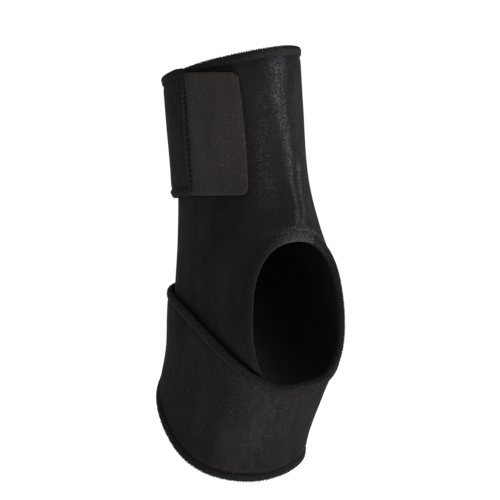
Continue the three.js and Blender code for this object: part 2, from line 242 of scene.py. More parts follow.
def lining_material():
    material, tree, shader = new_material("knit_lining")
    where = cloth_place(tree)
    cloud = stretched_noise(tree, where, (60.0, 40.0, 1.0))
    rows = cloth_rows(tree, where, "X", 190.0, 1.5, 2.0)
    dark, light = (0.0065, 0.0058, 0.0058, 1), (0.011, 0.010, 0.010, 1)
    ground = blend_colour(tree, band_of(tree, cloud, 0.3, 0.7), dark, light)
    ribs = blend_colour(tree, times(tree, rows, 0.35), ground, (0.022, 0.020, 0.020, 1))
    finish_surface(tree, shader, ribs, rows, 0.35, 0.0003, Roughness=0.8, Specular_IOR_Level=0.12)
    return material


loop_cloth = loop_cloth_material()
lining = lining_material()


def make_piece(name, points, faces, uv, materials, inside_from=0, sheen_and_lint=None):
    """A mesh piece from points in metres. Its faces from inside_from on take the second material, if any."""
    mesh = bpy.data.meshes.new(name)
    mesh.from_pydata(points.tolist(), [], [list(map(int, face)) for face in faces])
    layer_uv = mesh.uv_layers.new(name="cloth")
    loops = np.empty(len(mesh.loops), np.int32)
    mesh.loops.foreach_get("vertex_index", loops)
    layer_uv.data.foreach_set("uv", uv[loops].astype(np.float32).ravel())
    # Painted sheen on the cloth and the hems, real lint on the hook tab
    if sheen_and_lint is not None:
        attribute = mesh.attributes.new("sheen_and_lint", "FLOAT", "POINT")
        attribute.data.foreach_set("value", sheen_and_lint.astype(np.float32))
    for material in materials:
        mesh.materials.append(material)
    if len(materials) > 1:
        index = np.zeros(len(mesh.polygons), np.int32)
        index[inside_from:] = 1
        mesh.polygons.foreach_set("material_index", index)
    mesh.polygons.foreach_set("use_smooth", np.ones(len(mesh.polygons), bool))
    mesh.validate()
    mesh.update()
    piece = bpy.data.objects.new(name, mesh)
    bpy.context.scene.collection.objects.link(piece)
    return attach(piece, "root")


def cloth_uv(turn, along):
    return np.stack([np.radians(turn) * leg_radius, along], -1) * 0.001


def cloth_shell(name, turn, along, cells, low, high, materials, sheen_and_lint):
    """A closed sheet of cloth: outer face, inner face, and a wall round each free edge."""
    count = len(turn)
    points = np.concatenate([lay(turn, along, high), lay(turn, along, low)])
    edges = np.concatenate([cells[:, [0, 1]], cells[:, [1, 2]], cells[:, [2, 3]], cells[:, [3, 0]]])
    shared = {(b, a) for a, b in edges.tolist()}
    free = np.array([edge for edge in edges.tolist() if tuple(edge) not in shared])
    walls = np.stack([free[:, 1], free[:, 0], free[:, 0] + count, free[:, 1] + count], -1)
    inner = cells[:, ::-1] + count
    faces = np.concatenate([cells, walls, inner])
    uv = np.tile(cloth_uv(turn, along), (2, 1))
    sheen_and_lint = np.concatenate([sheen_and_lint, np.zeros(count)])
    return make_piece(name, points, faces, uv, materials, len(cells) + len(walls), sheen_and_lint)


def grid_cells(columns, rows, first=0, joined=False):
    """Cells of a grid stored column by column, with rows cells to a column."""
    here = first + np.arange(columns) * (rows + 1)
    onward = here + rows + 1
    if joined:
        onward[-1] = first
    j = np.arange(rows)
    cells = [here[:, None] + j, onward[:, None] + j, onward[:, None] + j + 1, here[:, None] + j + 1]
    return np.stack([part.ravel() for part in cells], -1)


# Edge lines
# The cloth is cut to these lines and its edges are turned in and sewn down. The band crosses the instep and
# goes under the arch, and the wrap climbs one layer as it comes round the front over its own inner end.
inner_turn = -177.0
seam_turn = 194.0
ramp_turns = (98.0, 178.0)
sole_ramp = 23.0
top_slope_height = 5.5
top_slope_turn = 45.0
# Each row has a turn from the heel, and there the band's instep edge and toe edge as shares of foot_reach
band_edges = np.array([
    (0, -0.415, -0.950),
    (20, -0.405, -0.955),
    (46, -0.295, -0.970),
    (66, -0.228, -0.965),
    (90, -0.165, -0.925),
    (113, -0.115, -0.870),
    (145, -0.080, -0.815),
    (180, -0.065, -0.795),
])
instep_half = curve_through(band_edges[:, 0], band_edges[:, 1] * foot_reach)
toe_half = curve_through(band_edges[:, 0], band_edges[:, 2] * foot_reach)


def from_heel(turn):
    wrapped = np.mod(turn, 360)
    return np.minimum(wrapped, 360 - wrapped)


def instep_line(turn):
    return instep_half(from_heel(turn))


toe_skew_height = 2.0
toe_skew_middle_turn = -14.0
toe_skew_turn = 36.0


def toe_line(turn):
    share = (np.mod(turn + 180, 360) - 180 - toe_skew_middle_turn) / toe_skew_turn
    return toe_half(from_heel(turn)) + toe_skew_height * share * np.exp((1 - share ** 2) / 2)


def top_line(turn):
    return leg_rise + top_slope_height * np.cos(np.radians(turn - top_slope_turn))


def wrap_lift(turn):
    """The wrap's height off the form, in millimetres: one layer where it lies over its inner end."""
    return layer * smooth(turn, *ramp_turns)


def band_lift(turn):
    """The band's height off the form: it ends on the sole, one layer over its own beginning."""
    turn = np.mod(turn, 360)
    sole = layer * (1 - smooth(np.where(turn > 180, turn - 360, turn), -sole_ramp, sole_ramp))
    return np.where(turn > 180, sole, np.maximum(wrap_lift(turn), sole))


def step_lengths(turn, along):
    return [np.linalg.norm(step, axis=-1) for step in form_steps(turn, along)]


def sidestep(turn, along, ahead_turn, ahead_along, distance):
    """A step to the left of a path, measured on the form."""
    across, up = step_lengths(turn, along)
    right, rise = ahead_turn * across, ahead_along * up
    length = np.hypot(right, rise)
    return turn - distance * rise / (length * across), along + distance * right / (length * up)


def moved(line, distance):
    """A line moved up by a distance, as a function of turn."""
    def shifted(turn):
        slope = line(turn + 0.5) - line(turn - 0.5)
        at, along = sidestep(turn, line(turn), 1.0, slope, distance)
        return along + (turn - at) * slope
    return shifted


def below(line, turn, along):
    """How far places lie below a line, in millimetres on the form."""
    across, up = step_lengths(turn, along)
    slope = (line(turn + 0.5) - line(turn - 0.5)) * up / across
    return (line(turn) - along) * up / np.sqrt(1 + slope ** 2)


opening_middle = -10.2
opening_half_height = 34.0
opening_half_turn = 32.5
opening_squareness = 2.4


def opening_point(angle, margin):
    """The heel opening's outline moved out by a margin: 0 is its top, 180 its foot."""
    def outline(at):
        sine, cosine = np.sin(np.radians(at)), np.cos(np.radians(at))
        power = 2 / opening_squareness
        right, rise = np.sign(sine) * abs(sine) ** power, np.sign(cosine) * abs(cosine) ** power
        return opening_half_turn * right, opening_middle + opening_half_height * rise
    angle = np.asarray(angle, float)
    turn, along = outline(angle)
    after, before = outline(angle + 0.5), outline(angle - 0.5)
    return sidestep(turn, along, after[0] - before[0], after[1] - before[1], margin)


def from_opening(turn, along):
    """Distance of places from the opening's free edge, in millimetres on the form."""
    edge_turn, edge_along = opening_point(np.linspace(-180, 180, 361), 0)
    across, up = step_lengths(turn, along)
    right = (turn[:, None] - edge_turn) * across[:, None]
    rise = (along[:, None] - edge_along) * up[:, None]
    return np.sqrt((right ** 2 + rise ** 2).min(1))


def sewn_down(distance):
    """How much the cloth dips beside a hem's seam, by its distance from the free edge."""
    dip, reach = 0.6, 1.6
    return dip * np.exp(-((np.maximum(distance - hem_width, 0) / reach) ** 2))


def drift(turn, along, amount):
    """The soft unevenness of worn cloth, longer up the brace than round it."""
    t, a = np.radians(turn), along
    waves = np.sin(9 * t + a / 31 + 1.3) * np.sin(a / 23 + 0.7) + 0.6 * np.sin(17 * t - a / 19 + 0.4)
    waves += 0.5 * np.sin(28 * t + a / 37 + 2.2) * np.sin(a / 15 - 4 * t) + 0.4 * np.sin(5 * t - a / 12)
    return amount * waves / 2.5


# The wrap
# One padded panel cut with the heel opening in it, closed at the front where its outer end laps over the
# inner one. It is stretched tight, so it ripples only a little and pulls into short ridges above the opening.
def wrap_grid():
    """The wrap's turns, alongs and cells, with the opening left out."""
    columns = 190
    upper, lower, over = 62, 26, 46
    tuck_share, tuck_depth = 0.94, 12
    inset = hem_width * 0.5
    edge_turn, edge_along = opening_point(np.linspace(0, 180, 361), inset)
    widest = int(np.argmax(edge_turn))
    wide_turn, wide_along = edge_turn[widest], edge_along[widest]
    # Columns from the inner end to the opening, over the opening, and on round to the front seam
    near = np.linspace(inner_turn, -wide_turn, int(columns * 0.4))
    far = np.linspace(wide_turn, seam_turn, int(columns * 0.45))
    middle = -wide_turn * np.cos(np.pi * np.arange(1, over) / over)
    turns = np.concatenate([near, middle, far])
    start = np.interp(abs(turns), edge_turn[:widest + 1], edge_along[:widest + 1])
    end = moved(top_line, -inset)(turns)
    share = np.linspace(0, 1, upper + 1)
    turn = [np.repeat(turns, upper + 1)]
    along = [(start[:, None] + (end - start)[:, None] * share).ravel()]
    cells = [grid_cells(len(turns) - 1, upper)]
    low_turn, low_along = edge_turn[widest:][::-1], edge_along[widest:][::-1]

    def bent(at, height):
        spread = np.clip(1 - (abs(at) - wide_turn) / 30, 0, 1)
        return at - np.sign(at) * (wide_turn - np.interp(height, low_along, low_turn)) * spread

    # Beside the opening the columns go on down and lean in with it, and the near ones tuck under the band
    count = turn[0].size
    tuck_floor = opening_middle - opening_half_height * tuck_share
    instep_tuck = moved(instep_line, -tuck_depth)
    edges = (lambda at: np.maximum(instep_tuck(at), tuck_floor), moved(instep_line, hem_width * 0.3))
    for block, first, edge in ((near, 0, edges[0]), (far, len(near) + len(middle), edges[1])):
        guess = edge(bent(block, edge(block)))
        foot = edge(bent(block, edge(bent(block, guess))))
        share = np.arange(lower) / lower
        rows = foot[:, None] + (wide_along - foot)[:, None] * share
        turn.append(bent(block[:, None] * np.ones(lower), rows).ravel())
        along.append(rows.ravel())
        index = np.concatenate([
            count + np.arange(len(block) * lower).reshape(len(block), lower),
            ((first + np.arange(len(block))) * (upper + 1))[:, None],
        ], 1)
        quads = [index[:-1, :-1], index[1:, :-1], index[1:, 1:], index[:-1, 1:]]
        cells.append(np.stack([part.ravel() for part in quads], -1))
        count += len(block) * lower
    return np.concatenate(turn), np.concatenate(along), np.concatenate(cells)


def pulled_ridges(turn, along):
    """The height of the ridges above the opening."""
    height = np.zeros(len(turn))
    # Each ridge has its foot and top as turn and along, its height and its half width
    ridges = (
        ((2, 24), (8.5, 62), 0.55, 2.2),
        ((6, 24), (17, 60), 0.5, 2.0),
        ((-9, 23), (-17, 48), 0.25, 3.5),
        ((22, 12), (33, 45), 0.25, 3.5),
    )
    for foot, top, rise, half in ridges:
        way = np.clip((along - foot[1]) / (top[1] - foot[1]), 0, 1)
        off = abs(turn - (foot[0] + (top[0] - foot[0]) * way))
        fade = smooth(along, foot[1] - 3, foot[1] + 5) * (1 - smooth(along, top[1] - 22, top[1]))
        height += rise * np.exp(-((off / half) ** 2)) * fade
    return height


def painted_sheen_streaks(turn, along, opening):
    """How much painted sheen, a highlight painted into the cloth's colour, lies on it in streaks, given how
    far each place is from the opening.
    """
    # Each streak is a line of turn, along and half width, with its strength
    streaks = (
        (((4, 130, 9), (3, 118, 9), (2, 107, 9), (4, 97, 8), (7, 88, 6.5), (10, 75, 5), (9, 60, 4)), 0.66),
        (((9, 84, 3), (9.5, 64, 2.6), (8, 52, 1.8), (7, 42, 1.5), (2, 30, 2)), 0.75),
        (((23, 70, 4), (17, 51, 2.2), (14.5, 41, 1.7), (6, 30, 2)), 0.75),
        (((-10, 114, 11), (-12, 92, 11), (-16, 70, 11), (-17, 44, 10)), 0.20),
        (((26, 118, 12), (26, 90, 12), (27, 60, 12), (25, 30, 11)), 0.17),
    )
    sheen_and_lint = np.zeros(len(turn))
    for places, strength in streaks:
        line = np.array(places)[::-1]
        centre, half = (np.interp(along, line[:, 1], line[:, k]) for k in (0, 2))
        foot, top = line[[0, -1], 1]
        ends = smooth(along, foot - 8, foot + 8) * (1 - smooth(along, top - 8, top + 6))
        sheen_and_lint = np.maximum(sheen_and_lint, strength * np.exp(-((turn - centre) / half) ** 2) * ends)
    # Painted sheen also lies on the cloth beside the hem at the opening's top
    beside = np.exp(-((opening - 6.4) / 1.9) ** 2) * smooth(along, 12, 24) * smooth(turn, -22, 4)
    return np.maximum(sheen_and_lint, 0.8 * beside)


def wrap_panel():
    turn, along, cells = wrap_grid()
    opening = from_opening(turn, along)
    height = wall - sewn_down(opening) - sewn_down(below(top_line, turn, along))
    height += drift(turn, along, 0.16) * smooth(opening, 5, 16) + pulled_ridges(turn, along)
    # Where the wrap's colour gets streaks of painted sheen
    sheen_and_lint = painted_sheen_streaks(turn, along, opening)
    lift = wrap_lift(turn)
    return cloth_shell("leg_wrap", turn, along, cells, lift, lift + height, [loop_cloth, lining], sheen_and_lint)


leg_wrap = wrap_panel()
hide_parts("leg_panel")


# The closing strap
# The wrap's top end runs on as a strap of the same cloth, sewn to it at the front, drawn round over
# everything and held by its hook tab.
strap_radius = leg_radius + layer
strap_foot = 53.0
tab_width = 35.0
tab_height = 70.0
tab_middle_turn = 303.0
tab_slant = 3.4


def tab_seam(along):
    """The turn where the strap ends and the tab begins."""
    share = (along - strap_foot) / tab_height
    return tab_middle_turn + np.degrees((tab_slant * (share - 0.5) - tab_width / 2) / strap_radius)


def strap():
    columns, rows = 62, 44
    foot = strap_foot + hem_width * 0.5
    guess = seam_turn + (tab_seam(strap_foot) - seam_turn) * np.linspace(0, 1, columns + 1)
    top = moved(top_line, -hem_width * 0.5)(guess)
    along = foot + (top - foot)[:, None] * np.linspace(0, 1, rows + 1)
    end = tab_seam(along) - 0.2
    share = np.linspace(0, 1, columns + 1)[:, None]
    turn = seam_turn + (end - seam_turn) * share
    to_tab = np.radians(end - turn).ravel() * strap_radius
    turn, along = turn.ravel(), along.ravel()
    height = wall + drift(turn, along, 0.14)
    # It dips along its hems, under the stitches at the tab and in the front seam
    height -= sewn_down(below(top_line, turn, along)) + sewn_down(along - strap_foot)
    height -= 0.55 * (1 - smooth(to_tab, 2.6, 4.4))
    height -= 0.6 * np.exp(-(np.radians(turn - seam_turn) * leg_radius / 1.3) ** 2)
    lift = wrap_lift(turn)
    # A faint painted sheen toward the tab
    sheen_and_lint = 0.05 * smooth(turn, 225, 262)
    return cloth_shell("strap", turn, along, grid_cells(columns, rows), lift, lift + height,
                       [loop_cloth, lining], sheen_and_lint)


closing_strap = strap()
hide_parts("closure_strap")


# The hook tab
# A flat piece of woven hook tape, brown-black and dull, with clipped corners. Its hooks face inward and grip
# the loop cloth, and its free end lies on the wrap.
def hook_tape_material():
    material, tree, shader = new_material("woven_hook_tape")
    where, linty = cloth_place(tree), sheen_and_lint_attribute(tree)
    warp = cloth_rows(tree, where, "X", 520.0, 0.6, 1.0)
    weft = cloth_rows(tree, where, "Y", 430.0, 0.6, 1.0)
    cloud = stretched_noise(tree, where, (110.0, 26.0, 1.0))
    lines = stretched_noise(tree, where, (420.0, 18.0, 1.0), 1.0)
    speck = stretched_noise(tree, where, (1300.0, 1300.0, 1.0), 0.0)
    fuzz = stretched_noise(tree, where, (1500.0, 1500.0, 1.0), 2.0, 0.7)
    dark, light = (0.0325, 0.0270, 0.0265, 1), (0.0440, 0.0375, 0.0370, 1)
    ground = blend_colour(tree, band_of(tree, cloud, 0.3, 0.7), dark, light)
    lined = blend_colour(tree, band_of(tree, lines, 0.35, 0.75, 0.0, 0.28), ground, (0.051, 0.044, 0.043, 1))
    fuzzy = times(tree, band_of(tree, fuzz, 0.4, 0.75), 0.35)
    woven = blend_colour(tree, fuzzy, lined, (0.062, 0.054, 0.053, 1))
    caught = plus(tree, speck, times(tree, linty, 0.04))
    colour = blend_colour(tree, band_of(tree, caught, 0.795, 0.84, 0.0, 0.7), woven, (0.24, 0.23, 0.22, 1))
    pile = plus(tree, times(tree, warp, weft), times(tree, fuzz, 0.5))
    finish_surface(tree, shader, colour, pile, 0.4, 0.0003, Roughness=0.82, Specular_IOR_Level=0.12)
    return material


hook_tape = hook_tape_material()


def tab_panel():
    columns, rows = 30, 56
    chamfer, dip, bulge = 2.4, 3.0, 1.0
    free_width, free_slant = 34.1, 4.3
    tape_thickness = 1.6
    # Rows and columns crowd toward the edges, which are cut square with a little rounding
    height_share = np.concatenate([[0, 0.004, 0.012], np.linspace(0.03, 0.97, rows - 5), [0.988, 0.996, 1]])
    out_share = np.concatenate([[0], np.linspace(0.03, 0.965, columns - 3), [0.982, 0.994, 1]])
    share, out = np.meshgrid(height_share, out_share)
    to_end = np.minimum(share, 1 - share) * tab_height
    rounding = chamfer * (1 - smooth(to_end, 0, chamfer * 2))
    clip = np.maximum(chamfer - to_end, 0) * 0.95 + 0.05 * rounding
    along = strap_foot + tab_height * share - dip * out
    width = free_width - clip - free_slant * (share - 0.5) + bulge * np.sin(np.pi * share)
    turn = tab_seam(along) + 0.2 + np.degrees(width / strap_radius * out)
    edge = np.minimum(to_end, (1 - out) * width)
    # It starts as thick as the strap, with its sewn margin pressed flat, and thins to the tape's own
    thick = wall + (tape_thickness - wall) * smooth(out, 0, 0.35)
    thick -= 0.75 * (1 - smooth(out * width, 1.6, 3.2))
    top = thick - 0.35 * np.exp(-edge / 0.35) + 0.07 * np.sin(share * 23 + out * 3) * smooth(edge, 0, 4)
    # The free end's lower part stands off the cloth a little
    peel = 0.35 * smooth(out, 0.75, 1.0) * (0.4 + 0.6 * np.sin(np.pi * (1 - share)) ** 2)
    low = (layer + peel + 0.15 * np.exp(-edge / 0.35)).ravel()
    high = (layer + peel + top).ravel()
    lint = (smooth(out, 0.35, 0.75) * (0.4 + 0.6 * np.sin(np.pi * share))).ravel()
    cells = grid_cells(len(out_share) - 1, len(height_share) - 1)
    return cloth_shell("hook_tape_tab", turn.ravel(), along.ravel(), cells, low, high, [hook_tape], lint)


tape_tab = tab_panel()
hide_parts("hook_tab")


# The foot band
# A wide band of the same cloth, sewn to the wrap at the front. It crosses the instep, covers the arch and the
# sole and comes back under the heel opening, and its upper hem pulls it into small puckers.
def band():
    columns, rows = 230, 56
    turns = np.arange(columns) * 360.0 / columns
    low = moved(toe_line, hem_width * 0.5)(turns)
    high = moved(instep_line, -hem_width * 0.1)(turns)
    turn = np.repeat(turns, rows + 1)
    along = (low[:, None] + (high - low)[:, None] * np.linspace(0, 1, rows + 1)).ravel()
    from_instep = below(instep_line, turn, along) + hem_width / 2
    from_toe = -below(toe_line, turn, along)
    height = wall - sewn_down(from_instep) - sewn_down(from_toe)
    # Puckers that fade away from each hem
    t = np.radians(turn)
    instep_pucker = np.sin(62 * t + 1.5 * np.sin(7 * t)) * (0.6 + 0.4 * np.sin(11 * t + 1))
    toe_pucker = np.sin(70 * t + 2 * np.sin(5 * t))
    height += 0.24 * instep_pucker * np.exp(-np.maximum(from_instep - hem_width, 0) / 3.2)
    height += 0.14 * toe_pucker * np.exp(-np.maximum(from_toe - hem_width, 0) / 2.5)
    height += drift(turn, along * 1.3 + 40, 0.3) * smooth(from_instep, 6, 18)
    lift = band_lift(turn)
    signed_turn = np.where(turn > 180, turn - 360, turn)
    # A faint painted sheen on the band, strongest a little to the near side of the heel
    sheen_and_lint = 0.05 * np.exp(-((signed_turn + 18) / 45) ** 2) * smooth(along, -92, -60)
    cells = grid_cells(columns, rows, joined=True)
    return cloth_shell("foot_band_cloth", turn, along, cells, lift, lift + height,
                       [loop_cloth, lining], sheen_and_lint)


foot_band = band()
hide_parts("foot_band")


# The hems
# Every edge is turned in on itself and sewn down, which leaves a soft roll five millimetres wide, drawn in a
# little at each stitch.
def hem_material():
    material, tree, shader = new_material("turned_hem_cloth")
    where, sheen_and_lint = cloth_place(tree), sheen_and_lint_attribute(tree)
    fibre = stretched_noise(tree, where, (900.0, 1700.0, 1.0), 3.0, 0.7)
    cloud = stretched_noise(tree, where, (70.0, 200.0, 1.0))
    lint = stretched_noise(tree, where, (1000.0, 1000.0, 1.0), 0.0)
    dark, light = (0.0060, 0.0051, 0.0053, 1), (0.0100, 0.0088, 0.0093, 1)
    ground = blend_colour(tree, band_of(tree, cloud, 0.3, 0.7), dark, light)
    nap = blend_colour(tree, band_of(tree, fibre, 0.40, 0.72, 0.0, 0.6), ground, (0.034, 0.032, 0.035, 1))
    # Painted highlight: a bright sheen colour mixed into the hem's colour where its attribute is high
    painted_shine = times(tree, sheen_and_lint, band_of(tree, fibre, 0.42, 0.66, 0.1, 1.0))
    lit = blend_colour(tree, painted_shine, nap, (0.19, 0.18, 0.19, 1))
    colour = blend_colour(tree, band_of(tree, lint, 0.77, 0.84, 0.0, 0.5), lit, lint_colour)
    finish_surface(tree, shader, colour, fibre, 0.5, 0.0004, Roughness=0.75, Specular_IOR_Level=0.10,
                   Sheen_Weight=0.04, Sheen_Roughness=0.4)
    return material


hem_cloth = hem_material()
# The roll's section from the seam under the panel round the free edge: side and height in millimetres
hem_section = np.array([
    (-3.3, 0.7), (-2.5, 0.14), (-1.2, 0.0), (0.5, 0.0), (1.5, 0.16), (2.2, 0.65), (2.5, 1.4), (2.5, 2.2),
    (2.15, 2.95), (1.4, 3.42), (0.3, 3.6), (-0.9, 3.55), (-1.8, 3.25), (-2.5, 2.72), (-3.3, 1.9),
])
hem_middle_height = 1.8
pucker_length = 4.4
pucker_height = 0.12


def run_along(spots):
    """How far each of a path's points is from its first, along it."""
    return np.concatenate([[0], np.cumsum(np.linalg.norm(np.diff(spots, axis=0), axis=1))])


def path_frame(turn, along, lift, joined):
    """A path's points on the form, in millimetres, and its directions across, out and ahead."""
    spots = lay(turn, along, lift) * 1000
    if joined:
        before, after = np.roll(spots, 1, 0), np.roll(spots, -1, 0)
    else:
        before, after = spots[[0, *range(len(spots) - 1)]], spots[[*range(1, len(spots)), -1]]
    ahead = after - before
    ahead /= np.linalg.norm(ahead, axis=1, keepdims=True)
    normal = form_normal(turn, along)
    across = np.cross(normal, ahead)
    across /= np.linalg.norm(across, axis=1, keepdims=True)
    return spots, across, normal, ahead


def filled_out(height, fullness):
    """A height on the roll, drawn away from its middle by its fullness."""
    above = height - hem_middle_height
    return np.where(above < 0, height, hem_middle_height + above * fullness)


def roll_hem(name, turn, along, lift, free, joined, fullness, sheen_and_lint, slope):
    """A hem along a path; free is 1 where its free edge is on the path's left, -1 on its right."""
    spots, across, normal = path_frame(turn, along, lift, joined)[:3]
    run = run_along(spots)
    if joined:
        total = run[-1] + np.linalg.norm(spots[0] - spots[-1])
        puckers = round(total / pucker_length)
        wave = np.sin(2 * np.pi * run / total * puckers + 1.4 * np.sin(2 * np.pi * 3 * run / total))
    else:
        wave = np.sin(2 * np.pi * run / pucker_length + 1.4 * np.sin(run / 17))
        wave *= 0.7 + 0.3 * np.sin(run / 7.3)
        # The roll closes in over its last millimetres
        closing = 3
        to_end = np.clip(np.minimum(run, run[-1] - run) / closing, 0, 1)
        fullness = fullness * (0.55 + 0.45 * np.sqrt(np.clip(1 - (1 - to_end) ** 2, 0, 1)))
    wave, fullness = wave[:, None], fullness[:, None]
    section = hem_section * (free, 1)
    if free < 0:
        section = section[::-1]
    sides = len(section)
    outward = section[:, 0] * free
    side = (section[:, 0] + 0.35 * pucker_height * wave * free * (outward > 1)) * fullness
    height = section[:, 1] + pucker_height * wave * smooth(section[:, 1], 1.2, 3.4)
    height = filled_out(height, fullness) * (1 - slope * smooth(outward, -1.5, 2.5))
    points = spots[:, None] + across[:, None] * side[..., None] + normal[:, None] * height[..., None]
    rings = len(spots) if joined else len(spots) - 1
    i = np.arange(rings)[:, None]
    k = np.arange(sides)
    here, onward, step = i * sides, ((i + 1) % len(spots)) * sides, (k + 1) % sides
    faces = np.stack([a.ravel() for a in (here + k, here + step, onward + step, onward + k)], -1).tolist()
    if not joined:
        faces.append(list(range(sides - 1, -1, -1)))
        faces.append([(len(spots) - 1) * sides + n for n in range(sides)])
    uv = np.stack([np.repeat(run, sides), np.tile(run_along(section), len(spots))], -1) * 0.001
    points = points.reshape(-1, 3) * 0.001
    hem = make_piece(name, points, faces, uv, [hem_cloth], sheen_and_lint=np.repeat(sheen_and_lint, sides))
    return hem


def even_path(turn, along, lift, step, joined=False):
    """The same path with its points a step apart."""
    run = run_along(lay(turn, along, lift) * 1000)
    count = max(2, round(run[-1] / step))
    at = np.linspace(0, run[-1], count, endpoint=not joined)
    return np.interp(at, run, turn), np.interp(at, run, along)


def heel_hem_path():
    """Round the opening: it starts under the band and ends by turning the corner into the band's own hem."""
    under_band, corner_angle = 27, 5
    angle = np.linspace(0, 180, 721)
    turn, along = opening_point(angle, hem_width / 2)
    meets_band = angle[np.argmax((along < moved(instep_line, hem_width + 0.3)(turn)) & (angle > 90))]
    angle = np.linspace(-meets_band - under_band, meets_band - corner_angle, 500)
    turn, along = opening_point(angle, hem_width / 2)
    past_corner = np.linspace(turn[-1] - 4, turn[-1] - 16, 80)
    turn, along = np.append(turn, past_corner), np.append(along, instep_line(past_corner))
    turn, along = even_path(turn, along, turn * 0, 0.5)
    smoothing = 10
    kernel = np.hanning(2 * smoothing + 1)
    kernel /= kernel.sum()
    return [np.convolve(np.pad(line, smoothing, "edge"), kernel, "valid") for line in (turn, along)]


def front_hem_path():
    """From the tab along the strap's foot, round a corner and down the front seam."""
    corner_radius = 5
    line = strap_foot + hem_width / 2
    edge_turn = seam_turn + np.degrees((0.3 + hem_width / 2) / leg_radius)
    corner_turn = np.degrees(corner_radius / leg_radius)
    across = np.linspace(tab_seam(line) - 0.5, edge_turn + corner_turn, 120)
    bend = np.linspace(0, np.pi / 2, 14)[1:]
    foot = moved(instep_line, hem_width / 2 + 0.5)(np.array([edge_turn]))[0]
    down = np.linspace(line - corner_radius, foot, 60)[1:]
    turn = [across, edge_turn + corner_turn * (1 - np.sin(bend)), np.full(len(down), edge_turn)]
    along = [np.full(len(across), line), line - corner_radius * (1 - np.cos(bend)), down]
    return np.concatenate(turn), np.concatenate(along)


along_top = np.linspace(inner_turn, tab_seam(strap_foot + tab_height) - 0.5, 700)
ring = np.linspace(0, 360, 901)
# Each hem's turns, alongs, lift, side of its free edge, and whether it is a ring
hem_lines = {
    "top": (along_top, moved(top_line, -hem_width / 2)(along_top), wrap_lift, 1, False),
    "heel": (*heel_hem_path(), wrap_lift, -1, False),
    "instep": (ring, instep_line(ring), band_lift, 1, True),
    "toe": (ring, moved(toe_line, hem_width / 2)(ring), band_lift, -1, True),
    "front": (*front_hem_path(), wrap_lift, 1, False),
}
far_rim = {"instep": 0.3, "heel": 0.3}
# Where a hem gets painted sheen: how strongly, the middle turn and the half width
painted_sheen_on_hems = {"top": (0.26, 8, 26), "heel": (0.68, 3, 17)}
front_slope = 0.32


def far_fullness(hem_name, turn):
    """How much fuller a hem is on the far side of the heel opening, where it is stretched round the rim."""
    return 1 + far_rim.get(hem_name, 0) * smooth(turn, 5, 30) * (1 - smooth(turn, 70, 95))


for hem_name, (turn, along, lift_of, free, joined) in hem_lines.items():
    turn, along = even_path(turn, along, lift_of(turn), 1.1, joined)
    strength, middle, half = painted_sheen_on_hems.get(hem_name, (0, 0, 1))
    # The hem's painted sheen, a highlight painted into its colour
    painted_shine = strength * np.exp(-((turn - middle) / half) ** 2) * (along > 0)
    roll_hem(hem_name + "_edge_hem", turn, along, lift_of(turn), free, joined,
                              far_fullness(hem_name, turn), painted_shine, front_slope * (hem_name == "front"))
    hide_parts(hem_name + "_hem")


# The stitching
# The turned edges are oversewn with soft black thread, a loop round the edge every millimetre or so, and held
# by a line of straight stitches. A close brown zigzag and a wider black one join the tab to the strap, and
# another black one runs down the front seam.
def thread_material(name, dark, light):
    material, tree, shader = new_material(name)
    where = add_node(tree, "ShaderNodeTexCoord").outputs["Object"]
    twist = add_node(tree, "ShaderNodeTexNoise", Vector=where, Scale=2600.0, Detail=1.0).outputs["Fac"]
    colour = blend_colour(tree, band_of(tree, twist, 0.35, 0.65), dark, light)
    finish_surface(tree, shader, colour, Roughness=0.55, Specular_IOR_Level=0.25)
    return material


black_thread = thread_material("black_thread", (0.009, 0.0083, 0.009, 1), (0.030, 0.0285, 0.031, 1))
tape_thread = thread_material("brown_thread", (0.042, 0.035, 0.034, 1), (0.080, 0.068, 0.066, 1))


def thread_pieces(name, runs, thickness, sides=5, thread=black_thread):
    """Many short lengths of thread as one piece; each run is an array of points in millimetres."""
    points, faces = [], []
    for run in runs:
        ahead = np.gradient(run, axis=0)
        ahead /= np.linalg.norm(ahead, axis=1, keepdims=True)
        helper = np.where(abs(ahead[:, [2]]) > 0.8, (1.0, 0, 0), (0, 0, 1.0))
        left = np.cross(ahead, helper)
        left /= np.linalg.norm(left, axis=1, keepdims=True)
        up = np.cross(left, ahead)
        first, n = len(points), len(run)
        width = np.full(n, thickness / 2)
        width[[0, -1]] *= 0.45
        for i in range(n):
            for k in range(sides):
                angle = 2 * math.pi * k / sides
                points.append(run[i] + (left[i] * math.cos(angle) + up[i] * math.sin(angle)) * width[i])
        for i in range(n - 1):
            for k in range(sides):
                a, b = first + i * sides + k, first + i * sides + (k + 1) % sides
                faces.append((a, a + sides, b + sides, b))
        faces.append(tuple(first + k for k in range(sides)))
        faces.append(tuple(first + (n - 1) * sides + k for k in reversed(range(sides))))
    points = np.array(points) * 0.001
    piece = make_piece(name, points, faces, points[:, :2] * 0, [thread])
    return piece


# A loop of thread over a hem's free edge: side, height and how far it leans along the hem
over_edge = [(0.7, 3.68, -0.5), (1.55, 3.5, -0.35), (2.3, 3.05, -0.15), (2.7, 2.2, 0.0), (2.7, 1.35, 0.12),
             (2.3, 0.5, 0.25), (1.4, 0.0, 0.4)]
# What a long loop has before that, over the hem's top
over_top = [(-2.4, 2.9, -1.1), (-1.6, 3.46, -0.95), (-0.4, 3.72, -0.72)]


